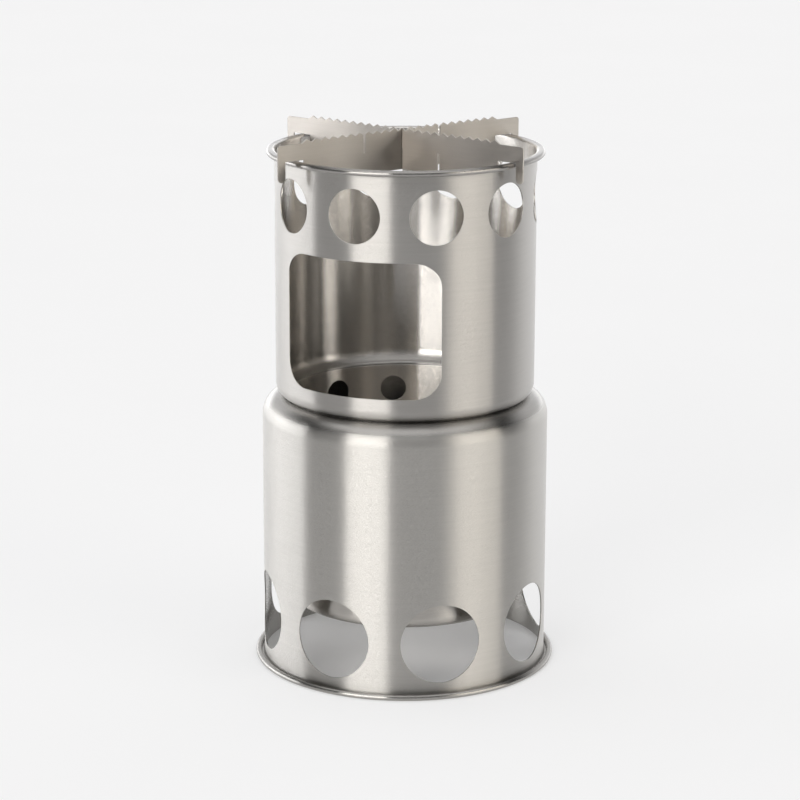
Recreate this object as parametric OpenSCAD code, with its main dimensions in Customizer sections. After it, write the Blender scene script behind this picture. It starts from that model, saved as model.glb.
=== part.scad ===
// Double wall twig stove: a base with a burn pot hung inside it, a fire chamber that
// stands on the base, and a pot stand of two crossed plates on the chamber's rim.
// Millimetres. Origin at the centre of the foot on the ground, +Z up, feed door towards -Y.

/* [Sheet] */
// Thickness of the drawn and rolled sheet
sheet = 0.5; // [0.4:0.1:0.8]
// Thickness of the pot stand's plates
plate = 0.6; // [0.5:0.1:0.9]

/* [Base] */
// Outer diameter of the base wall
base_d = 108; // [90:1:130]
// Height of the base, from the ground to the top of its shoulder
base_h = 103.4; // [90:0.1:120]
// How far the rolled rim at the foot stands out from the wall
foot_reach = 3.3; // [2.8:0.1:4.5]
// Diameter of the rolled bead at the foot
foot_bead = 2.2; // [1.8:0.1:2.6]
// Diameter of an air intake
intake_d = 30; // [20:1:34]
// Number of air intakes round the base
intake_count = 8; // [5:1:9]
// Strip of wall left between the intakes and the rim at the foot
intake_strip = 3.4; // [2:0.1:8]
// Turn of the base under the feed door, in degrees
base_turn = -7.7; // [-22.5:0.1:22.5]
// Radius of the bend round the mouth of the base
mouth_bend = 1; // [0.8:0.1:1.4]
// Depth of the neck turned down from the mouth
neck_h = 4; // [3:0.5:8]

/* [Burn pot] */
// Width of the air gap between the base wall and the burn pot
air_gap = 8.35; // [6:0.05:12]
// Height of the pot's floor above the ground
pot_floor_z = 23.2; // [15:0.1:40]
// Outer radius of the pot's rounded bottom edge
pot_corner = 5; // [3:0.5:8]
// Width of the ledge left round the open floor
ledge_w = 6; // [4:0.5:10]
// Diameter of an air jet
jet_d = 10; // [5:0.5:12]
// Number of air jets round the pot
jet_count = 12; // [8:1:16]
// Strip of wall left between the jets and the neck above them
jet_strip = 0.3; // [0.2:0.1:6]
// Turn of the jets against the intakes, in degrees
jet_turn = 6.3; // [-15:0.1:15]

/* [Fire grate] */
// Thickness of the grate
grate_t = 0.8; // [0.6:0.1:1.5]
// Diameter of a hole in the grate
grate_hole_d = 5; // [3:0.5:6]
// Distance between one ring of grate holes and the next
grate_pitch = 7.7; // [7:0.1:10]

/* [Fire chamber] */
// How far the chamber wall stands out from the pot's wall
chamber_step = 3.65; // [2.5:0.05:4.5]
// Height of the chamber, from the lip at its bottom to the top of its rim
chamber_h = 93.9; // [86:0.1:110]
// Outer radius of the chamber's rounded bottom edge
chamber_corner = 5.5; // [4.8:0.1:7]
// How far the rolled rim stands out from the wall
rim_reach = 2.95; // [2.5:0.05:3.5]
// Diameter of the rolled bead at the rim
rim_bead = 2; // [1.8:0.1:2.4]
// Diameter of a vent
vent_d = 20; // [12:0.5:22]
// Number of vents round the chamber
vent_count = 10; // [6:1:11]
// Strip of wall left between the vents and the rim above them
vent_strip = 5.3; // [3:0.1:10]
// Width of the feed door, straight across
door_w = 60.4; // [40:0.1:70]
// Radius of the feed door's corners
door_corner = 9; // [4:0.5:12]
// Strip of wall left between the feed door and the vents
door_strip = 6.3; // [3:0.1:12]
// Strip of wall left between the feed door and the rounded edge below it
door_sill = 4.2; // [1:0.1:8]

/* [Pot stand] */
// Height of the teeth's tips above the rim
stand_rise = 7.5; // [6:0.1:12]
// Height of a plate, from its bottom edge to the teeth's tips
stand_h = 15.5; // [13:0.1:20]
// Width of the leg at each end of a plate
leg_w = 3.25; // [2.5:0.05:5]
// Length of a leg below the top of the rim
leg_drop = 7.3; // [5:0.1:9]
// Play between the rim and the legs outside it
leg_play = 1.45; // [1:0.05:2]
// Room left inside the wall by the notch that sits on the rim
notch_room = 3.4; // [2:0.1:5]
// Distance from one tooth to the next
tooth_pitch = 3.95; // [3:0.05:4.05]
// Number of teeth on each side of the crossing
tooth_count = 11; // [6:1:11]
// Depth of the gaps between the teeth
tooth_h = 1.1; // [0.6:0.1:1.8]
// Height of the teeth's tips above the plain ends of a plate
tooth_rise = 1.35; // [0.8:0.05:2]
// Radius of the outer top corners of a plate
plate_corner = 1; // [0.5:0.1:2]
// Distance of the side slots from the crossing
slot_offset = 17.55; // [10:0.05:22]
// Angle between the two arms at the front, in degrees
cross_angle = 102.5; // [90:0.5:105]
// Turn of the stand on the rim, from the feed door, in degrees
stand_turn = 22; // [-90:1:90]

/* [Clearances] */
// Gap left under each piece that lifts off its seat
seat_gap = 0.1; // [0.05:0.05:0.3]
// Gap between the pot's wall and the neck round it
seam_gap = 0.05; // [0.02:0.01:0.15]
// Gap between the pot's mouth and the chamber's lip over it
lip_gap = 0.3; // [0.2:0.05:0.5]
// Gap between the grate and the rounded edge round it
grate_gap = 0.4; // [0.2:0.1:1]
// Play of a plate in the slot that it crosses
slot_play = 0.2; // [0.1:0.05:0.4]
// Gap between the rim and the legs on the side that the stand has slid away from
leg_gap = 0.3; // [0.1:0.1:0.6]

/* [Hidden] */
$fn = 120;
cut = 1;
// Overlap of two curves that run into each other
lap = 0.02;
base_r = base_d / 2;
pot_r = base_r - sheet - air_gap;
neck_r = pot_r + seam_gap;
mouth_r = neck_r + mouth_bend;
shoulder = base_r - mouth_r;
mouth_z = base_h - mouth_bend;
intake_z = foot_bead + intake_strip + intake_d / 2;
pot_top = mouth_z - seam_gap;
ledge_r = pot_r - pot_corner;
jet_z = mouth_z - neck_h - jet_strip - jet_d / 2;
grate_z = pot_floor_z + sheet + seat_gap;
grate_r = ledge_r - grate_gap;
grate_rings = floor((ledge_r - ledge_w - grate_hole_d) / grate_pitch);
chamber_r = pot_r + chamber_step;
turn_r = chamber_r - chamber_corner;
// The chamber's rounded bottom edge runs into a lip that is turned down inside the mouth of
// the base. Their two centres lie on one line through the seat, where the curve changes sides.
seat_reach = chamber_corner + mouth_bend + seat_gap;
turn_rise = sqrt(pow(seat_reach, 2) - pow(mouth_r - turn_r, 2));
turn_z = mouth_z + round(turn_rise * 100) / 100;
chamber_z = pot_top + lip_gap;
rim_r = chamber_r + rim_reach;
rim_z = chamber_z + chamber_h;
vent_z = rim_z - rim_bead - vent_strip - vent_d / 2;
door_top = vent_z - vent_d / 2 - door_strip;
door_bottom = turn_z + door_sill;
door_h = door_top - door_bottom;
notch_z = rim_z + seat_gap;
notch_r = chamber_r - sheet - notch_room;
leg_r = rim_r + leg_play;
arm = leg_r + leg_w;
tip_z = rim_z + stand_rise;
root_z = tip_z - tooth_h;
end_z = tip_z - tooth_rise;
plate_z = tip_z - stand_h;
slot_z = plate_z + stand_h / 2;
// Where the flank of the last tooth runs out at the plain end of a plate
run_out = (tooth_count + tooth_rise / tooth_h / 2) * tooth_pitch;
leg_z = rim_z - leg_drop + leg_w / 2;
half_angle = cross_angle / 2;
slot_w = plate * (1 + abs(cos(cross_angle))) / sin(cross_angle) + slot_play;
// The stand has slid sideways in its play, until its legs on one side nearly touch the rim.
stand_slide = (leg_play - leg_gap) / sin(half_angle);
steel = [0.74, 0.72, 0.69];
pot_steel = [0.52, 0.49, 0.45];
stand_steel = [0.66, 0.63, 0.59];

// Quarter turn of the sheet in the half section, with outer radius r about a centre
module bend(centre, r, side, way) {
    translate(centre)
        intersection() {
            difference() {
                circle(r = r);
                circle(r = r - sheet);
            }
            translate([side < 0 ? -r : 0, way < 0 ? -r : 0])
                square(r);
        }
}

// Half section of a rim rolled out from a wall into an open bead, lying on its flat side
module rolled_rim(wall_r, reach, bead_d) {
    bead_r = bead_d / 2;
    bend_at = wall_r - sheet + bead_r;
    bead_at = wall_r + reach - bead_r;
    bend([bend_at, bead_r], bead_r, -1, -1);
    translate([bend_at, 0])
        square([bead_at - bend_at, sheet]);
    translate([bead_at, bead_r])
        difference() {
            circle(r = bead_r);
            circle(r = bead_r - sheet);
            translate([-bead_r, -bead_r])
                square(bead_r);
        }
}

// Half section of a straight wall between two heights
module wall_section(wall_r, low, high) {
    translate([wall_r - sheet, low])
        square([sheet, high - low]);
}

// Round holes through a wall, evenly spaced, the first one facing the front
module ring_of_holes(count, hole_d, wall_r, height) {
    inside = sqrt(pow(wall_r - sheet, 2) - pow(hole_d / 2, 2)) - cut;
    for (i = [0 : count - 1])
        rotate([0, 0, i * 360 / count])
            translate([0, -inside, height])
                rotate([90, 0, 0])
                    cylinder(d = hole_d, h = wall_r - inside + cut);
}

module base_section() {
    rolled_rim(base_r, foot_reach, foot_bead);
    wall_section(base_r, foot_bead / 2, base_h - shoulder);
    bend([mouth_r, base_h - shoulder], shoulder, 1, 1);
    bend([mouth_r, mouth_z], mouth_bend, -1, 1);
    wall_section(neck_r + sheet, mouth_z - neck_h, mouth_z);
}

module base_shell() {
    color(steel)
        rotate([0, 0, base_turn])
            difference() {
                rotate_extrude()
                    base_section();
                ring_of_holes(intake_count, intake_d, base_r, intake_z);
            }
}

module pot_section() {
    wall_section(pot_r, pot_floor_z + pot_corner, pot_top);
    bend([ledge_r, pot_floor_z + pot_corner], pot_corner, 1, -1);
    translate([ledge_r - ledge_w, pot_floor_z])
        square([ledge_w, sheet]);
}

module burn_pot() {
    color(pot_steel)
        rotate([0, 0, base_turn + jet_turn])
            difference() {
                rotate_extrude()
                    pot_section();
                ring_of_holes(jet_count, jet_d, pot_r, jet_z);
            }
}

// Grate disc with a hole in the middle and six more in each ring than in the last
module fire_grate() {
    color(pot_steel)
        translate([0, 0, grate_z])
            linear_extrude(grate_t)
                difference() {
                    circle(r = grate_r);
                    circle(d = grate_hole_d);
                    for (ring = [1 : grate_rings], i = [0 : 6 * ring - 1])
                        rotate(i * 60 / ring)
                            translate([ring * grate_pitch, 0])
                                circle(d = grate_hole_d);
                }
}

// Half section of the chamber's rounded bottom edge, and of the lip that runs on from it past
// the line through their two centres
module seat_section() {
    turn = [turn_r, turn_z];
    mouth = [mouth_r, mouth_z];
    intersection() {
        bend(turn, chamber_corner, 1, -1);
        polygon([turn, mouth - [lap, 0], [chamber_r + cut, mouth_z], [chamber_r + cut, turn_z]]);
    }
    intersection() {
        bend(mouth, mouth_bend + seat_gap + sheet, -1, 1);
        polygon([turn, mouth, [turn_r - chamber_corner, mouth_z]]);
        translate([turn_r - chamber_corner, chamber_z])
            square(2 * chamber_corner);
    }
}

module chamber_section() {
    translate([0, rim_z])
        mirror([0, 1])
            rolled_rim(chamber_r, rim_reach, rim_bead);
    wall_section(chamber_r, turn_z, rim_z - rim_bead / 2);
    seat_section();
}

// Outline of the feed door as it is punched, straight on
module door_outline() {
    square([door_w - 2 * door_corner, door_h], center = true);
    square([door_w, door_h - 2 * door_corner], center = true);
    for (x = [-1, 1], z = [-1, 1])
        translate([x * (door_w / 2 - door_corner), z * (door_h / 2 - door_corner)])
            circle(r = door_corner);
}

module fire_chamber() {
    color(steel)
        difference() {
            rotate_extrude()
                chamber_section();
            ring_of_holes(vent_count, vent_d, chamber_r, vent_z);
            translate([0, 0, (door_bottom + door_top) / 2])
                rotate([90, 0, 0])
                    linear_extrude(chamber_r + cut)
                        door_outline();
        }
}

// Right half of a plate's outline, from its bottom edge round the notch and the leg to the teeth
function half_outline() = concat(
    [[notch_r, plate_z], [notch_r, notch_z], [leg_r, notch_z], [leg_r, leg_z], [arm, leg_z]],
    [[arm, end_z - plate_corner], [arm - plate_corner, end_z], [run_out, end_z]],
    [for (i = [tooth_count : -1 : 1])
        each [[i * tooth_pitch, tip_z], [(i - 0.5) * tooth_pitch, root_z]]]
);

// Whole outline: the half, the tooth over the crossing, and the half mirrored
module plate_outline() {
    half = half_outline();
    polygon(concat(
        half,
        [[0, tip_z]],
        [for (i = [len(half) - 1 : -1 : 0]) [-half[i].x, half[i].y]]
    ));
    for (side = [-1, 1]) {
        translate([side * (arm - plate_corner), end_z - plate_corner])
            circle(r = plate_corner);
        translate([side * (leg_r + leg_w / 2), leg_z])
            circle(d = leg_w);
    }
}

// Three slots from a height up or down through one edge of a plate
module slots(from, to) {
    for (x = [-slot_offset, 0, slot_offset])
        translate([x - slot_w / 2, from])
            square([slot_w, to - from]);
}

// Stands a plate's outline upright on the rim, turned to its arm of the cross
module stand_up(turn) {
    color(stand_steel)
        rotate([0, 0, stand_turn])
            translate([-stand_slide, 0, 0])
                rotate([0, 0, turn])
                    rotate([90, 0, 0])
                        linear_extrude(plate, center = true)
                            children();
}

module stand_plate_lower() {
    stand_up(90 - half_angle)
        difference() {
            plate_outline();
            slots(slot_z - seat_gap, tip_z + cut);
        }
}

module stand_plate_upper() {
    stand_up(half_angle - 90)
        difference() {
            plate_outline();
            slots(plate_z - cut, slot_z + seat_gap);
        }
}

base_shell();
burn_pot();
fire_grate();
fire_chamber();
stand_plate_lower();
stand_plate_upper();
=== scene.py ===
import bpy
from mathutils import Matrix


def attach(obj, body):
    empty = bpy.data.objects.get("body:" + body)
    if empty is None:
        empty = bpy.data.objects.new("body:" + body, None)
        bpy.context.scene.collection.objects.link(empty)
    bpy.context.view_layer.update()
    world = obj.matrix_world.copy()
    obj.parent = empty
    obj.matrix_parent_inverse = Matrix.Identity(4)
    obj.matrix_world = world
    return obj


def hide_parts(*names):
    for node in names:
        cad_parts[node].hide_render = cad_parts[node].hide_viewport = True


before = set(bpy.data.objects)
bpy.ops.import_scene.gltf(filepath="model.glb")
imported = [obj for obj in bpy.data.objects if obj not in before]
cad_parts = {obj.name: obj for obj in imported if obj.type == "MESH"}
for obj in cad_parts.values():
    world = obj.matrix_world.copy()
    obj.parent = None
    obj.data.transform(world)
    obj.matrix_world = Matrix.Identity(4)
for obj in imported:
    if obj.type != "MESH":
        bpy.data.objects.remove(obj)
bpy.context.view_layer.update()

from math import acos, asin, cos, degrees, hypot, pi, radians, sin, sqrt

import bpy
from mathutils import Matrix, Vector

# Sizes of the stove, in millimetres, as the model has them
MM = 0.001
SHEET = 0.5
BASE_R = 54.0
BASE_H = 103.4
FOOT_REACH = 3.3
FOOT_BEAD = 2.2
INTAKE_D = 30.0
INTAKE_COUNT = 8
INTAKE_STRIP = 3.4
BASE_TURN = -7.7
MOUTH_BEND = 1.0
NECK_H = 4.0
AIR_GAP = 8.35
POT_FLOOR_Z = 23.2
POT_CORNER = 5.0
LEDGE_W = 6.0
JET_D = 10.0
JET_COUNT = 12
JET_STRIP = 0.3
JET_TURN = 6.3
GRATE_T = 0.8
GRATE_HOLE_D = 5.0
GRATE_PITCH = 7.7
CHAMBER_STEP = 3.65
CHAMBER_H = 93.9
CHAMBER_CORNER = 5.5
RIM_REACH = 2.95
RIM_BEAD = 2.0
VENT_D = 20.0
VENT_COUNT = 10
VENT_STRIP = 5.3
DOOR_W = 60.4
DOOR_CORNER = 9.0
DOOR_STRIP = 6.3
DOOR_SILL = 4.2
PLATE = 0.6
STAND_RISE = 7.5
STAND_H = 15.5
LEG_W = 3.25
LEG_DROP = 7.3
LEG_PLAY = 1.45
LEG_GAP = 0.3
NOTCH_ROOM = 3.4
TOOTH_PITCH = 3.95
TOOTH_COUNT = 11
TOOTH_H = 1.1
TOOTH_RISE = 1.35
PLATE_CORNER = 1.0
SLOT_OFFSET = 17.55
SLOT_PLAY = 0.2
CROSS_ANGLE = 102.5
STAND_TURN = 22.0
SEAT_GAP = 0.1
SEAM_GAP = 0.05
LIP_GAP = 0.3
GRATE_GAP = 0.4

# Places that follow from them
POT_R = BASE_R - SHEET - AIR_GAP
NECK_R = POT_R + SEAM_GAP
MOUTH_R = NECK_R + MOUTH_BEND
MOUTH_Z = BASE_H - MOUTH_BEND
SHOULDER = BASE_R - MOUTH_R
INTAKE_Z = FOOT_BEAD + INTAKE_STRIP + INTAKE_D / 2
LEDGE_R = POT_R - POT_CORNER
JET_Z = MOUTH_Z - NECK_H - JET_STRIP - JET_D / 2
GRATE_Z = POT_FLOOR_Z + SHEET + SEAT_GAP
CHAMBER_R = POT_R + CHAMBER_STEP
TURN_R = CHAMBER_R - CHAMBER_CORNER
SEAT_REACH = CHAMBER_CORNER + MOUTH_BEND + SEAT_GAP
TURN_Z = MOUTH_Z + round(sqrt(SEAT_REACH ** 2 - (MOUTH_R - TURN_R) ** 2), 2)
POT_TOP = MOUTH_Z - SEAM_GAP
CHAMBER_Z = POT_TOP + LIP_GAP
RIM_Z = CHAMBER_Z + CHAMBER_H
VENT_Z = RIM_Z - RIM_BEAD - VENT_STRIP - VENT_D / 2
DOOR_TOP = VENT_Z - VENT_D / 2 - DOOR_STRIP
DOOR_BOTTOM = TURN_Z + DOOR_SILL
TIP_Z = RIM_Z + STAND_RISE

# How finely the meshes are made. Two places closer than WELD are one.
COLUMNS = 360
COLUMN = 360 / COLUMNS
CAP_STEPS = 4
EDGE_STEPS = 3
WELD = 1e-6
HALVINGS = 30
# How the rings round a hole crowd towards its edge; 1 is evenly
RING_SPREAD = 1.4

# How far the cut edges of the cans, the plates and the grate are rounded or eased
EDGE_ROUND = 0.09
PLATE_EDGE = 0.06
GRATE_EDGE = 0.12

# The photograph's view: where the camera stands, in millimetres and degrees
CAMERA_AZIMUTH = 22.6
CAMERA_BACK = 1009.16
CAMERA_UP = 366.95
CAMERA_DOWN = 14.824
CAMERA_YAW = 0.107
CAMERA_ROLL = 0.159
CAMERA_LENS = 123.84
SENSOR = 36.0


class Skin:
    """A mesh in the making: points with their own normals, shared where faces meet."""

    def __init__(self):
        self.index = {}
        self.points = []
        self.normals = []
        self.faces = []

    def point(self, place, normal):
        key = tuple(round(c / WELD) for c in place)
        if key not in self.index:
            self.index[key] = len(self.points)
            self.points.append(place)
            self.normals.append(normal.normalized())
        return self.index[key]

    def quad(self, *corners):
        """Adds a face, turned so that it faces the way its points' normals do."""
        a, b, c, d = (self.points[i] for i in corners)
        facing = sum((self.normals[i] for i in corners), Vector())
        if (c - a).cross(d - b).dot(facing) < 0:
            corners = corners[::-1]
        self.faces.append(corners)

    def band(self, lower, upper, closed=True):
        """Faces between two rows with the same number of points."""
        count = len(lower)
        for i in range(count if closed else count - 1):
            j = (i + 1) % count
            self.quad(lower[i], lower[j], upper[j], upper[i])

    def piece(self, name, *materials):
        mesh = bpy.data.meshes.new(name)
        mesh.from_pydata(self.points, [], self.faces)
        mesh.polygons.foreach_set("use_smooth", [True] * len(self.faces))
        mesh.normals_split_custom_set_from_vertices(self.normals)
        for material in materials:
            mesh.materials.append(material)
        made = bpy.data.objects.new(name, mesh)
        bpy.context.scene.collection.objects.link(made)
        return made


def radial(angle):
    """Level direction away from the axis; 0 degrees is the front, and it grows towards +X."""
    return Vector((sin(radians(angle)), -cos(radians(angle)), 0))


def tangent(angle):
    return Vector((cos(radians(angle)), sin(radians(angle)), 0))


def spot(angle, r, z):
    return (radial(angle) * r + Vector((0, 0, z))) * MM


def line(start, end, steps=1):
    """Stations along a straight stretch of a middle line: place and direction of travel."""
    dr, dz = end[0] - start[0], end[1] - start[1]
    far = hypot(dr, dz)
    made = []
    for i in range(steps + 1):
        made.append((start[0] + dr * i / steps, start[1] + dz * i / steps, dr / far, dz / far))
    return made


def arc(centre, radius, start, end, steps):
    """Stations along an arc of a middle line, from one angle to another."""
    way = 1 if end > start else -1
    made = []
    for i in range(steps + 1):
        a = radians(start + (end - start) * i / steps)
        place = (centre[0] + radius * cos(a), centre[1] + radius * sin(a))
        made.append((*place, -way * sin(a), way * cos(a)))
    return made


class Hole:
    """A punched hole, straight on: a rectangle with round corners, or a circle."""

    def __init__(self, width, height, corner):
        self.half = (width / 2, height / 2)
        self.corner = corner

    def depth(self, u, v):
        """How far a point lies outside the outline, and the outline's direction out of the hole."""
        qu = abs(u) - self.half[0] + self.corner
        qv = abs(v) - self.half[1] + self.corner
        side_u = 1 if u > 0 else -1
        side_v = 1 if v > 0 else -1
        if qu > 0 and qv > 0:
            far = hypot(qu, qv)
            return far - self.corner, (side_u * qu / far, side_v * qv / far)
        if qu > qv:
            return qu - self.corner, (side_u, 0)
        return qv - self.corner, (0, side_v)

    def reach(self, u, v, grow):
        """Where the ray from the centre through a point crosses the outline, grown by a margin."""
        low, high = 0.0, 2.0
        for _ in range(HALVINGS):
            share = (low + high) / 2
            if self.depth(u * share, v * share)[0] < grow:
                low = share
            else:
                high = share
        return u * low, v * low


class Belt:
    """A stretch of straight wall in cells of whole columns, some with a hole in the middle."""

    def __init__(self, low, high, rows, cells, rings=8):
        self.low, self.high, self.rows, self.cells, self.rings = low, high, rows, cells, rings

    def spans(self, z_one, z_two):
        low, high = min(z_one, z_two), max(z_one, z_two)
        return abs(low - self.low) < WELD and abs(high - self.high) < WELD

    def height(self, row):
        return self.low + (self.high - self.low) * row / self.rows

    def fill(self, skin, first, r_in, r_out):
        for start, end, hole in self.cells:
            if hole is None:
                for r, side in ((r_out, 1), (r_in, -1)):
                    self.plain(skin, first, start, end, r, side)
            else:
                self.pierce(skin, first, start, end, hole, r_in, r_out)

    def plain(self, skin, first, start, end, r, side):
        angles = [first + column * COLUMN for column in range(start, end + 1)]
        rows = [[skin.point(spot(a, r, self.height(row)), side * radial(a)) for a in angles]
                for row in range(self.rows + 1)]
        for lower, upper in zip(rows, rows[1:]):
            skin.band(lower, upper, closed=False)

    def border(self, first, start, end):
        """The cell's corners and edges, once round: angle and height."""
        left, right = first + start * COLUMN, first + end * COLUMN
        columns = [first + c * COLUMN for c in range(start, end + 1)]
        heights = [self.height(row) for row in range(self.rows + 1)]
        made = [(a, self.low) for a in columns[:-1]]
        made += [(right, z) for z in heights[:-1]]
        made += [(a, self.high) for a in columns[:0:-1]]
        made += [(left, z) for z in heights[:0:-1]]
        return made

    def pierce(self, skin, first, start, end, hole, r_in, r_out):
        border = self.border(first, start, end)
        middle = first + (start + end) / 2 * COLUMN
        z_mid = (self.low + self.high) / 2
        rays = [(r_out * radians(a - middle), z - z_mid) for a, z in border]

        def on_outline(ray, r, grow):
            u, v = hole.reach(*ray, grow)
            return middle + degrees(asin(u / r)), z_mid + v

        def wall(r, side):
            inner = [on_outline(ray, r, EDGE_ROUND) for ray in rays]
            rows = []
            for ring in range(self.rings + 1):
                share = (ring / self.rings) ** RING_SPREAD
                row = []
                for (a, z), (b, y) in zip(inner, border):
                    angle = a + (b - a) * share
                    place = spot(angle, r, z + (y - z) * share)
                    row.append(skin.point(place, side * radial(angle)))
                rows.append(row)
            for near, far in zip(rows, rows[1:]):
                skin.band(near, far)

        def edge(r, side, step):
            """One row of the hole's rounded edge, between the wall's face and the cut."""
            lean = pi / 2 * step / EDGE_STEPS
            grow = EDGE_ROUND * (1 - sin(lean))
            at = r - side * EDGE_ROUND * (1 - cos(lean))
            row = []
            for ray in rays:
                angle, z = on_outline(ray, at, grow)
                out_u, out_v = hole.depth(*hole.reach(*ray, 0))[1]
                into = -(out_u * tangent(middle) + out_v * Vector((0, 0, 1)))
                normal = side * cos(lean) * radial(angle) + sin(lean) * into
                row.append(skin.point(spot(angle, at, z), normal))
            return row

        wall(r_out, 1)
        wall(r_in, -1)
        outer = [edge(r_out, 1, step) for step in range(EDGE_STEPS + 1)]
        inner = [edge(r_in, -1, step) for step in range(EDGE_STEPS, -1, -1)]
        rows = outer + inner
        for near, far in zip(rows, rows[1:]):
            skin.band(near, far)


def roll(skin, path, first, belts=()):
    """Turns the sheet along a half section's middle line about the axis, with round ends."""
    half = SHEET / 2
    ends = []
    for (r, z, tr, tz), way in ((path[-1], 1), (path[0], -1)):
        cap = []
        for step in range(1, CAP_STEPS):
            a = pi * step / CAP_STEPS
            nr = way * (tz * cos(a) + tr * sin(a))
            nz = way * (-tr * cos(a) + tz * sin(a))
            cap.append((r + half * nr, z + half * nz, nr, nz))
        ends.append(cap)
    right = [(r + half * tz, z - half * tr, tz, -tr) for r, z, tr, tz in path]
    left = [(r - half * tz, z + half * tr, -tz, tr) for r, z, tr, tz in reversed(path)]
    loop = right + ends[0] + left + ends[1]
    rings = []
    for r, z, nr, nz in loop:
        angles = [first + k * COLUMN for k in range(COLUMNS)]
        up = Vector((0, 0, nz))
        rings.append([skin.point(spot(a, r, z), radial(a) * nr + up) for a in angles])
    for i, here in enumerate(loop):
        j = (i + 1) % len(loop)
        there = loop[j]
        same = hypot(here[0] - there[0], here[1] - there[1]) < WELD
        pierced = abs(here[0] - there[0]) < WELD and any(b.spans(here[1], there[1]) for b in belts)
        if not same and not pierced:
            skin.band(rings[i], rings[j])


def cells(count, hole):
    """Equal cells all round, each with the same hole."""
    wide = COLUMNS // count
    return [(i * wide, (i + 1) * wide, hole) for i in range(count)]


def base_shell(material):
    """The base, from the curl of its foot up the wall, over the shoulder and down the neck."""
    bead_r, mid = FOOT_BEAD / 2, SHEET / 2
    bend_at = BASE_R - SHEET + bead_r
    bead_at = BASE_R + FOOT_REACH - bead_r
    wall = BASE_R - mid
    margin = 1.6
    intake = Hole(INTAKE_D, INTAKE_D, INTAKE_D / 2)
    low = INTAKE_Z - INTAKE_D / 2 - margin
    high = INTAKE_Z + INTAKE_D / 2 + margin
    belt = Belt(low, high, rows=34, cells=cells(INTAKE_COUNT, intake))
    path = arc((bead_at, bead_r), bead_r - mid, 180, -90, steps=24)
    path += line((bead_at, mid), (bend_at, mid))
    path += arc((bend_at, bead_r), bead_r - mid, -90, -180, steps=8)
    path += line((wall, bead_r), (wall, belt.low))
    path += line((wall, belt.high), (wall, BASE_H - SHOULDER), steps=6)
    path += arc((MOUTH_R, BASE_H - SHOULDER), SHOULDER - mid, 0, 90, steps=24)
    path += arc((MOUTH_R, MOUTH_Z), MOUTH_BEND - mid, 90, 180, steps=6)
    path += line((NECK_R + mid, MOUTH_Z), (NECK_R + mid, MOUTH_Z - NECK_H), steps=2)
    skin = Skin()
    first = BASE_TURN - 180 / INTAKE_COUNT
    roll(skin, path, first, [belt])
    belt.fill(skin, first, BASE_R - SHEET, BASE_R)
    return skin.piece("base_can", material)


def burn_pot(material):
    """The pot, from its mouth down the wall and in to the ledge that the grate lies on."""
    mid = SHEET / 2
    wall = POT_R - mid
    margin = 1.2
    jet = Hole(JET_D, JET_D, JET_D / 2)
    low = JET_Z - JET_D / 2 - margin
    high = JET_Z + JET_D / 2 + margin
    belt = Belt(low, high, rows=13, cells=cells(JET_COUNT, jet), rings=6)
    path = line((wall, POT_TOP), (wall, belt.high))
    path += line((wall, belt.low), (wall, POT_FLOOR_Z + POT_CORNER), steps=6)
    path += arc((LEDGE_R, POT_FLOOR_Z + POT_CORNER), POT_CORNER - mid, 0, -90, steps=14)
    path += line((LEDGE_R, POT_FLOOR_Z + mid), (LEDGE_R - LEDGE_W, POT_FLOOR_Z + mid), steps=2)
    skin = Skin()
    first = BASE_TURN + JET_TURN - 180 / JET_COUNT
    roll(skin, path, first, [belt])
    belt.fill(skin, first, POT_R - SHEET, POT_R)
    return skin.piece("pot_can", material)


def fire_chamber(material):
    """The chamber, from the lip in the mouth of the base up the wall to the curl of its rim."""
    bead_r, mid = RIM_BEAD / 2, SHEET / 2
    bend_at = CHAMBER_R - SHEET + bead_r
    bead_at = CHAMBER_R + RIM_REACH - bead_r
    wall = CHAMBER_R - mid
    lip_bend = MOUTH_BEND + SEAT_GAP + mid
    lip_end = 180 - degrees(asin((CHAMBER_Z + mid - MOUTH_Z) / lip_bend))
    seat = degrees(acos((MOUTH_R - TURN_R) / SEAT_REACH))
    margin = 1.3
    door_columns = 86
    front = round(180 / VENT_COUNT / COLUMN)
    left = front - door_columns // 2
    vent = Hole(VENT_D, VENT_D, VENT_D / 2)
    door = Hole(DOOR_W, DOOR_TOP - DOOR_BOTTOM, DOOR_CORNER)
    low = VENT_Z - VENT_D / 2 - margin
    high = VENT_Z + VENT_D / 2 + margin
    vents = Belt(low, high, rows=20, cells=cells(VENT_COUNT, vent), rings=7)
    right = left + door_columns
    door_cells = [(left, right, door), (right, left + COLUMNS, None)]
    doors = Belt(DOOR_BOTTOM - margin, DOOR_TOP + margin, rows=36, cells=door_cells)
    path = arc((MOUTH_R, MOUTH_Z), lip_bend, lip_end, 180 - seat, steps=8)
    path += arc((TURN_R, TURN_Z), CHAMBER_CORNER - mid, -seat, 0, steps=20)
    path += line((wall, TURN_Z), (wall, doors.low), steps=2)
    path += line((wall, doors.high), (wall, vents.low), steps=2)
    path += line((wall, vents.high), (wall, RIM_Z - bead_r), steps=2)
    path += arc((bend_at, RIM_Z - bead_r), bead_r - mid, 180, 90, steps=6)
    path += line((bend_at, RIM_Z - mid), (bead_at, RIM_Z - mid))
    path += arc((bead_at, RIM_Z - bead_r), bead_r - mid, 90, -180, steps=20)
    skin = Skin()
    first = -180 / VENT_COUNT
    roll(skin, path, first, [vents, doors])
    vents.fill(skin, first, CHAMBER_R - SHEET, CHAMBER_R)
    doors.fill(skin, first, CHAMBER_R - SHEET, CHAMBER_R)
    return skin.piece("chamber_can", material)


def round_points(centre, radius, start, end, steps):
    """The places alone along an arc."""
    return [(x, y) for x, y, _, _ in arc(centre, radius, start, end, steps)]


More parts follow.
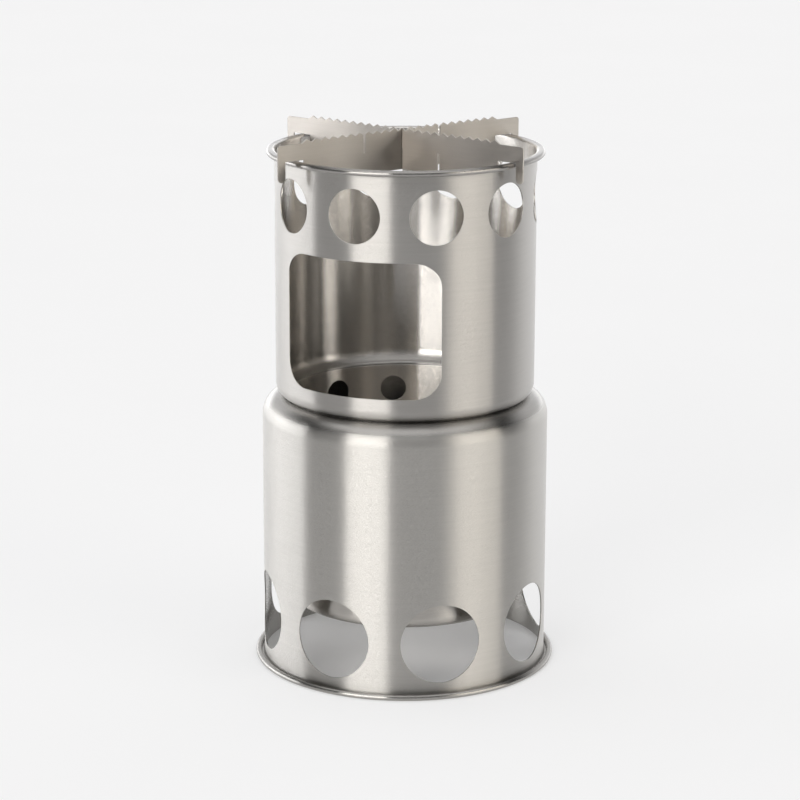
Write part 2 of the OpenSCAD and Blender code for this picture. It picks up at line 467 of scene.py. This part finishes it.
def cut_sheet(name, outlines, thickness, edge, material):
    """A flat piece with eased edges, cut along closed outlines; the first goes round the others."""
    curve = bpy.data.curves.new(name, "CURVE")
    curve.dimensions = "2D"
    curve.fill_mode = "BOTH"
    curve.extrude = (thickness / 2 - edge) * MM
    curve.bevel_depth = edge * MM
    curve.bevel_resolution = 1
    curve.offset = -edge * MM
    for outline in outlines:
        spline = curve.splines.new("POLY")
        spline.points.add(len(outline) - 1)
        for point, (x, y) in zip(spline.points, outline):
            point.co = (x * MM, y * MM, 0, 1)
        spline.use_cyclic_u = True
    pattern = bpy.data.objects.new(name + ".pattern", curve)
    bpy.context.scene.collection.objects.link(pattern)
    bpy.context.view_layer.update()
    shaped = pattern.evaluated_get(bpy.context.evaluated_depsgraph_get())
    mesh = bpy.data.meshes.new_from_object(shaped)
    bpy.data.objects.remove(pattern)
    mesh.name = name
    mesh.polygons.foreach_set("use_smooth", [False] * len(mesh.polygons))
    mesh.materials.append(material)
    made = bpy.data.objects.new(name, mesh)
    bpy.context.scene.collection.objects.link(made)
    return made


def circle(x, y, diameter, steps):
    return round_points((x, y), diameter / 2, 0, 360 - 360 / steps, steps - 1)


def fire_grate(material):
    """A disc with a hole in the middle and rings of 6, 12, 18 holes and so on round it."""
    hole_steps = 40
    rings = int((LEDGE_R - LEDGE_W - GRATE_HOLE_D) / GRATE_PITCH)
    outlines = [circle(0, 0, 2 * (LEDGE_R - GRATE_GAP), steps=180)]
    outlines.append(circle(0, 0, GRATE_HOLE_D, hole_steps))
    for ring in range(1, rings + 1):
        for i in range(6 * ring):
            a = radians(i * 60 / ring)
            x, y = ring * GRATE_PITCH * cos(a), ring * GRATE_PITCH * sin(a)
            outlines.append(circle(x, y, GRATE_HOLE_D, hole_steps))
    grate = cut_sheet("grate_disc", outlines, GRATE_T, GRATE_EDGE, material)
    grate.data.transform(Matrix.Translation((0, 0, (GRATE_Z + GRATE_T / 2) * MM)))
    return grate


def half_outline(slots_up):
    """Right half of a stand plate's outline, from the middle of its bottom to that of its teeth."""
    notch_r = CHAMBER_R - SHEET - NOTCH_ROOM
    notch_z = RIM_Z + SEAT_GAP
    leg_r = CHAMBER_R + RIM_REACH + LEG_PLAY
    arm = leg_r + LEG_W
    plate_z = TIP_Z - STAND_H
    end_z = TIP_Z - TOOTH_RISE
    leg_round = LEG_W / 2
    leg_z = RIM_Z - LEG_DROP + leg_round
    run_out = (TOOTH_COUNT + TOOTH_RISE / TOOTH_H / 2) * TOOTH_PITCH
    slot = PLATE * (1 + abs(cos(radians(CROSS_ANGLE)))) / sin(radians(CROSS_ANGLE)) + SLOT_PLAY
    slot_z = plate_z + STAND_H / 2
    # The middle slot's edge and the two edges of the slot beside it
    middle, near, far = slot / 2, SLOT_OFFSET - slot / 2, SLOT_OFFSET + slot / 2

    outline = [(0, plate_z)]
    if not slots_up:
        end = slot_z + SEAT_GAP
        outline = [(0, end), (middle, end), (middle, plate_z), (near, plate_z)]
        outline += [(near, end), (far, end), (far, plate_z)]
    outline += [(notch_r, plate_z), (notch_r, notch_z), (leg_r, notch_z), (leg_r, leg_z)]
    outline += round_points((leg_r + leg_round, leg_z), leg_round, 180, 360, steps=12)
    corner = (arm - PLATE_CORNER, end_z - PLATE_CORNER)
    outline += round_points(corner, PLATE_CORNER, 0, 90, steps=6)
    outline.append((run_out, end_z))
    teeth = []
    for i in range(TOOTH_COUNT, 0, -1):
        teeth += [(i * TOOTH_PITCH, TIP_Z), ((i - 0.5) * TOOTH_PITCH, TIP_Z - TOOTH_H)]
    teeth.append((0, TIP_Z))
    if not slots_up:
        return outline + teeth
    end = slot_z - SEAT_GAP

    def top(x):
        """Height of the teeth's edge."""
        share = abs(x / TOOTH_PITCH - round(x / TOOTH_PITCH)) * 2
        return TIP_Z - TOOTH_H * share

    outline += [tooth for tooth in teeth if tooth[0] > far]
    outline += [(far, top(far)), (far, end), (near, end), (near, top(near))]
    outline += [tooth for tooth in teeth if middle <= tooth[0] < near]
    outline += [(middle, top(middle)), (middle, end), (0, end)]
    return outline


def stand_plate(name, turn, slots_up, material):
    """A plate stood upright across the rim, slid sideways in its play as in the photograph."""
    half = half_outline(slots_up)
    whole = half + [(-x, z) for x, z in reversed(half) if x > 0]
    plate = cut_sheet(name, [whole], PLATE, PLATE_EDGE, material)
    slide = (LEG_PLAY - LEG_GAP) / sin(radians(CROSS_ANGLE / 2))
    upright = Matrix.Rotation(radians(90), 4, "X")
    place = Matrix.Rotation(radians(STAND_TURN), 4, "Z") @ Matrix.Translation((-slide * MM, 0, 0))
    plate.data.transform(place @ Matrix.Rotation(radians(turn), 4, "Z") @ upright)
    return plate


class Graph:
    """Short forms for a node tree."""

    def __init__(self, tree):
        self.tree = tree
        tree.nodes.clear()

    def add(self, kind, inputs=None, output=0, **settings):
        node = self.tree.nodes.new(kind)
        for name, value in settings.items():
            setattr(node, name, value)
        for name, value in (inputs or {}).items():
            self.feed(node.inputs[name], value)
        return node.outputs[output] if node.outputs else None

    def feed(self, socket, value):
        if isinstance(value, bpy.types.NodeSocket):
            self.tree.links.new(value, socket)
        else:
            socket.default_value = value

    def math(self, operation, *values):
        return self.add("ShaderNodeMath", dict(enumerate(values)), operation=operation)

    def vector(self, operation, *values, output=0, scale=None):
        inputs = dict(enumerate(values))
        if scale is not None:
            inputs["Scale"] = scale
        return self.add("ShaderNodeVectorMath", inputs, output, operation=operation)

    def ramp(self, value, low, high, to_low=0.0, to_high=1.0, smooth=True):
        inputs = {"Value": value, "From Min": low, "From Max": high}
        inputs.update({"To Min": to_low, "To Max": to_high})
        kind = "SMOOTHSTEP" if smooth else "LINEAR"
        return self.add("ShaderNodeMapRange", inputs, interpolation_type=kind)

    def noise(self, vector, detail=2.0, roughness=0.5):
        inputs = {"Vector": vector, "Scale": 1.0, "Detail": detail, "Roughness": roughness}
        return self.add("ShaderNodeTexNoise", inputs)


# The marks that brushing leaves: each one's length and width in millimetres
STREAK = (12.0, 0.4)
BROAD_STREAK = (34.0, 1.4)
GROOVE = (0.6, 0.02)
# How far the sides of the grooves lean, as a slope
GROOVE_LEAN = 1.1
# Clouds of tone and slow waves of the sheet, as how many go into a metre along x, y and z
CLOUDS = (45, 45, 45)
WAVES = (24, 24, 9)
# How much the streaks, the broad streaks and the clouds change the tone
STREAK_TONE = 0.08
BROAD_TONE = STREAK_TONE * 1.6
CLOUD_TONE = 0.06
# How much the broad streaks and the clouds change the roughness
BROAD_ROUGH = 0.10
CLOUD_ROUGH = 0.06
# How strong the streaks and the waves are as bumps, and their height in millimetres
STREAK_BUMP = (0.35, 0.01)
WAVE_BUMP = (0.3, 0.12)
# The inner side of a can: its roughness, and how much of the unevenness is left on it
INNER_ROUGH = 0.22
INNER_UNEVEN = 0.05
# The drawn and rolled places: how far from the straight wall they begin and are complete, in
# millimetres, their roughness, the painted shade that darkens their colour beside the wall's, and
# what is left of the grooves
DRAWN_AWAY = (0.4, 1.6)
DRAWN_ROUGH = 0.25
DRAWN_PAINTED_SHADE = 0.75
DRAWN_GROOVES = 0.25
# Half the width of the change from a can's outer side to its inner side, as a cosine
SIDE_BLEND = 0.02
# A quarter turn, which lays the highlight across the grain
ACROSS_GRAIN = 0.25


def steel(name, colour, roughness, wall_r=None, shine=0.5, heading=None, bow=None):
    """Brushed steel. The grain runs round the axis, or along a level heading in degrees.

    On a round piece the wall's radius is given: the inner side and the places that curve away
    from the wall have a roughness and unevenness of their own, and painted light and shade in
    their colour: the curved places are darkened by painted shade, and the share given for the
    inner side lightens its colour as painted light, or darkens it as painted shade below 0. On a
    flat piece, bow says from where to where along the heading its face turns, in millimetres,
    and by how many degrees at either place.
    """
    material = bpy.data.materials.new(name)
    material.use_nodes = True
    g = Graph(material.node_tree)
    place = g.add("ShaderNodeTexCoord", output=3)
    if heading is None:
        flat = g.vector("MULTIPLY", place, (1, 1, 0))
        run = g.vector("NORMALIZE", flat)
        along = g.add("ShaderNodeTangent", direction_type="RADIAL", axis="Z")
    else:
        way = Vector((cos(radians(heading)), sin(radians(heading)), 0))
        reach = g.vector("DOT_PRODUCT", place, tuple(way), output=1)
        share = g.math("MULTIPLY", reach, 1 / (CHAMBER_R * MM))
        run = g.add("ShaderNodeCombineXYZ", {"X": share})
        along = g.add("ShaderNodeCombineXYZ", {"X": way.x, "Y": way.y, "Z": 0.0})
    height = g.vector("MULTIPLY", place, (0, 0, 1))

    def marks(length, width, detail):
        """A noise drawn out along the grain, in marks of about this size."""
        spread = g.vector("MULTIPLY", run, (CHAMBER_R / length,) * 3)
        rise = g.vector("MULTIPLY", height, (1 / (width * MM),) * 3)
        return g.noise(g.vector("ADD", spread, rise), detail)

    def about(value, amount):
        """A noise turned into a change either way."""
        return g.math("MULTIPLY", g.math("SUBTRACT", value, 0.5), amount)

    fine = marks(*STREAK, 2.0)
    broad = marks(*BROAD_STREAK, 3.0)
    groove = marks(*GROOVE, 0.0)
    cloud = g.noise(g.vector("MULTIPLY", place, CLOUDS), 3.0)
    waves = g.noise(g.vector("MULTIPLY", place, WAVES), 1.0)

    streaks = g.math("ADD", about(fine, STREAK_TONE), about(broad, BROAD_TONE))
    shade = g.math("ADD", g.math("ADD", streaks, about(cloud, CLOUD_TONE)), 1.0)
    shade = g.add("ShaderNodeCombineXYZ", {"X": shade, "Y": shade, "Z": shade})
    tint = g.vector("MULTIPLY", shade, tuple(colour))
    rough, calm, grooved = roughness, 1.0, 1.0
    facing_out = g.add("ShaderNodeNewGeometry", output=1)
    if wall_r is not None:
        facing = g.vector("DOT_PRODUCT", facing_out, run, output=1)
        inside = g.ramp(facing, -SIDE_BLEND, SIDE_BLEND, 1.0, 0.0)
        far = g.math("SUBTRACT", g.vector("LENGTH", flat, output=1), wall_r * MM)
        away = g.math("ABSOLUTE", far)
        curved = g.ramp(away, DRAWN_AWAY[0] * MM, DRAWN_AWAY[1] * MM)
        painted_inner_mask = g.math("MULTIPLY", inside, g.math("SUBTRACT", 1.0, curved))
        # Painted light on the inner side away from the curved places, or painted shade where the
        # share is below 0
        tint = g.vector("SCALE", tint, scale=g.math("MULTIPLY_ADD", painted_inner_mask, shine, 1.0))
        # Painted shade: the colour of the curved places is darkened
        drawn = g.math("MULTIPLY_ADD", curved, DRAWN_PAINTED_SHADE - 1, 1.0)
        tint = g.vector("SCALE", tint, scale=drawn)
        rough = g.math("ADD", g.math("MULTIPLY", inside, INNER_ROUGH - roughness), roughness)
        rough = g.ramp(curved, 0.0, 1.0, rough, DRAWN_ROUGH, smooth=False)
        calm = g.math("MULTIPLY_ADD", inside, INNER_UNEVEN - 1, 1.0)
        grooved = g.math("MULTIPLY_ADD", curved, DRAWN_GROOVES - 1, 1.0)
    uneven = g.math("ADD", about(broad, BROAD_ROUGH), about(cloud, CLOUD_ROUGH))
    rough = g.math("ADD", g.math("MULTIPLY", uneven, calm), rough)

    if bow:
        start, end, turn_start, turn_end = bow
        turned = g.ramp(reach, start * MM, end * MM, radians(turn_start), radians(turn_end))
        aside = g.vector("SCALE", tuple(way), scale=turned)
        facing_out = g.vector("SUBTRACT", facing_out, aside)
    across = g.vector("CROSS_PRODUCT", facing_out, along)
    lean = g.math("MULTIPLY", about(groove, GROOVE_LEAN), grooved)
    leaning = g.vector("ADD", facing_out, g.vector("SCALE", across, scale=lean))
    normal = g.vector("NORMALIZE", leaning)
    for height_map, (strength, rise) in ((fine, STREAK_BUMP), (waves, WAVE_BUMP)):
        normal = g.add("ShaderNodeBump", {
            "Strength": g.math("MULTIPLY", calm, strength), "Distance": rise * MM,
            "Height": height_map, "Normal": normal})
    shader = g.add("ShaderNodeBsdfPrincipled", {
        "Base Color": tint, "Metallic": 1.0, "Roughness": rough, "Anisotropic": 1.0,
        "Anisotropic Rotation": ACROSS_GRAIN, "Tangent": along, "Normal": normal})
    g.add("ShaderNodeOutputMaterial", {"Surface": shader})
    return material


# The floor's colour, how much of it is plain backdrop, and what is left of that inside the base.
# Past the base's wall it takes this many millimetres to come in full.
FLOOR = (0.94, 0.94, 0.943)
FLOOR_GLOW = 0.66
FLOOR_INSIDE = 0.24
FLOOR_CLEAR = 6.0
# Clouds in its tone, as how many go into a metre, and the tones between which they go
FLOOR_CLOUDS = (7, 7, 7)
FLOOR_TONES = (0.99, 1.01)
# Nearly all of a noise lies between these values
NOISE_SPAN = (0.3, 0.7)


def pale_floor():
    """A matt floor. Where it is seen, or mirrored in the steel, a share of it is plain backdrop."""
    material = bpy.data.materials.new("pale_floor")
    material.use_nodes = True
    g = Graph(material.node_tree)
    place = g.add("ShaderNodeTexCoord", output=3)
    cloud = g.noise(g.vector("MULTIPLY", place, FLOOR_CLOUDS), 4.0)
    tone = g.ramp(cloud, *NOISE_SPAN, *FLOOR_TONES, smooth=False)
    tint = g.vector("SCALE", FLOOR, scale=tone)
    matt = g.add("ShaderNodeBsdfDiffuse", {"Color": tint})
    backdrop = g.add("ShaderNodeEmission", {"Color": (*FLOOR, 1.0), "Strength": 1.0})
    share = 0.0
    for kind in ("Camera", "Glossy", "Transmission"):
        ray = g.add("ShaderNodeLightPath", output="Is " + kind + " Ray")
        share = g.math("MAXIMUM", share, ray)
    far = g.vector("LENGTH", place, output=1)
    clear = g.ramp(far, BASE_R * MM, (BASE_R + FLOOR_CLEAR) * MM, FLOOR_INSIDE, 1.0)
    share = g.math("MULTIPLY", g.math("MULTIPLY", share, clear), FLOOR_GLOW)
    surface = g.add("ShaderNodeMixShader", {0: share, 1: matt, 2: backdrop})
    g.add("ShaderNodeOutputMaterial", {"Surface": surface})
    return material


# The studio. Each light fills a stretch of the horizon, from one azimuth to another, and has a
# top above which it is dark. All are in degrees, each with the width over which the light fades.
# An azimuth is counted from the camera to its right as seen from the stove, and runs from -267
# to 93, so that the seam lies in the dark corner at 93.
DARK_CORNER = 93
LIGHTS = (
    {"from": (-128, 50), "to": (-86.5, 7), "top": (19, 12), "glow": (4.60, 4.62, 4.67)},
    {"from": (-165, 30), "to": (-112, 26), "top": (8, 10), "glow": (1.75, 1.76, 1.78)},
    {"from": (-48, 5), "to": (-13.3, 3), "top": (32, 14), "glow": (5.10, 5.02, 4.90)},
    {"from": (37, 20), "to": (82.6, 3), "top": (29, 14), "glow": (2.30, 2.18, 1.98)},
    {"from": (42, 16), "to": (66, 16), "top": (29, 14), "glow": (0.90, 0.86, 0.80)},
    {"from": (-245, 36), "to": (-140, 50), "top": (8, 10), "glow": (1.05, 1.06, 1.07)},
    {"from": (-245, 36), "to": (-125, 50), "top": (36, 18), "glow": (0.80, 0.80, 0.81)},
)
# The soft light overhead begins at a height in degrees; the room is what comes from all round
OVERHEAD = {"from": 54, "fade": 20, "glow": (1.33, 1.33, 1.34)}
ROOM = (0.06, 0.06, 0.06)


def studio():
    """The world's light, worked out from each ray's height and azimuth."""
    world = bpy.data.worlds.new("studio")
    world.use_nodes = True
    bpy.context.scene.world = world
    g = Graph(world.node_tree)
    ray = g.add("ShaderNodeTexCoord", output=0)
    rise = g.add("ShaderNodeSeparateXYZ", {"Vector": ray}, output=2)
    height = g.math("DEGREES", g.math("ARCSINE", rise))
    middle = DARK_CORNER - 180
    ahead = g.vector("DOT_PRODUCT", ray, tuple(radial(CAMERA_AZIMUTH + middle)), output=1)
    beside = g.vector("DOT_PRODUCT", ray, tuple(tangent(CAMERA_AZIMUTH + middle)), output=1)
    azimuth = g.math("ADD", g.math("DEGREES", g.math("ARCTAN2", beside, ahead)), middle)

    def past(value, edge, fade):
        """0 before an edge and 1 past it."""
        return g.ramp(value, edge - fade / 2, edge + fade / 2)

    def lit(total, share, colour):
        return g.vector("ADD", total, g.vector("SCALE", colour, scale=share))

    total = lit(ROOM, past(height, OVERHEAD["from"], OVERHEAD["fade"]), OVERHEAD["glow"])
    for light in LIGHTS:
        across = g.math("SUBTRACT", past(azimuth, *light["from"]), past(azimuth, *light["to"]))
        below = g.math("SUBTRACT", 1.0, past(height, *light["top"]))
        total = lit(total, g.math("MULTIPLY", across, below), light["glow"])
    g.add("ShaderNodeOutputWorld", {"Surface": g.add("ShaderNodeBackground", {"Color": total})})


def floor(material):
    """A wide round floor on the ground, 6 metres to each side."""
    radius = 6.0
    steps = 96
    mesh = bpy.data.meshes.new("floor")
    turns = [2 * pi * i / steps for i in range(steps)]
    ring = [(radius * cos(a), radius * sin(a), 0) for a in turns]
    mesh.from_pydata(ring, [], [tuple(range(steps))])
    mesh.materials.append(material)
    made = bpy.data.objects.new("floor", mesh)
    bpy.context.scene.collection.objects.link(made)


def camera():
    """The photograph's camera, as it was fitted to the edges of the stove."""
    data = bpy.data.cameras.new("camera")
    data.lens = CAMERA_LENS
    data.sensor_width = SENSOR
    data.clip_end = 20
    made = bpy.data.objects.new("camera", data)
    bpy.context.scene.collection.objects.link(made)
    heading = radians(CAMERA_AZIMUTH + CAMERA_YAW)
    down, roll_angle = radians(CAMERA_DOWN), radians(CAMERA_ROLL)
    forward = Vector((-sin(heading) * cos(down), cos(heading) * cos(down), -sin(down)))
    right = Vector((cos(heading), sin(heading), 0))
    up = right.cross(forward)
    turned_right = cos(roll_angle) * right + sin(roll_angle) * up
    turned_up = cos(roll_angle) * up - sin(roll_angle) * right
    axes = Matrix((turned_right, turned_up, -forward)).transposed().to_4x4()
    place = radial(CAMERA_AZIMUTH) * CAMERA_BACK + Vector((0, 0, CAMERA_UP))
    made.matrix_world = Matrix.Translation(place * MM) @ axes
    bpy.context.scene.camera = made


camera()
studio()
bpy.context.scene.view_settings.view_transform = "Standard"
floor(pale_floor())

# Colour of the steel on each piece
SHELL = (0.51, 0.495, 0.47)
# The chamber's colour is darker than the base's, as painted shade
CHAMBER = (0.445, 0.43, 0.41)
POT = (0.58, 0.555, 0.52)
GRATE = (0.47, 0.448, 0.415)
STAND = (0.52, 0.49, 0.455)
# The upper plate's colour is lighter than the lower plate's, as painted light
UPPER_STAND_PAINTED_LIGHT = (0.58, 0.545, 0.505)
# How the two plates stand to the left and right of the stand's own heading
LOWER_TURN = 90 - CROSS_ANGLE / 2
UPPER_TURN = CROSS_ANGLE / 2 - 90
LOWER_HEADING = STAND_TURN + LOWER_TURN
UPPER_HEADING = STAND_TURN + UPPER_TURN
# The upper plate isn't quite flat, which makes its tone run along it
UPPER_BOW = (-56, -8, 8.4, 2.75)

# The inner side's share in these calls, 0.5 on the chamber by default, is painted light on the
# inner side; below 0, on the base, it is painted shade
base_steel = steel("brushed_base", SHELL, 0.36, BASE_R - SHEET / 2, shine=-0.25)
pot_steel = steel("drawn_pot", POT, 0.34, POT_R - SHEET / 2, shine=0.3)
grate_steel = steel("rolled_grate", GRATE, 0.40, heading=0)
chamber_steel = steel("brushed_chamber", CHAMBER, 0.34, CHAMBER_R - SHEET / 2)
lower_steel = steel("brushed_plate_below", STAND, 0.40, heading=LOWER_HEADING)
upper_steel = steel("brushed_plate_above", UPPER_STAND_PAINTED_LIGHT, 0.40, heading=UPPER_HEADING, bow=UPPER_BOW)

# Each piece with its body, the node that it replaces and its material slot
PIECES = (
    (base_shell(base_steel), "base", "base_shell", "brushed_shell"),
    (burn_pot(pot_steel), "base", "burn_pot", "pot_steel"),
    (fire_grate(grate_steel), "grate", "fire_grate", "grate_steel"),
    (fire_chamber(chamber_steel), "chamber", "fire_chamber", "brushed_shell"),
    (stand_plate("plate_below", LOWER_TURN, True, lower_steel),
     "lower_plate", "stand_plate_lower", "stand_steel"),
    (stand_plate("plate_above", UPPER_TURN, False, upper_steel),
     "upper_plate", "stand_plate_upper", "stand_steel"),
)
for made, body, node, slot in PIECES:
    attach(made, body)
    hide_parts(node)
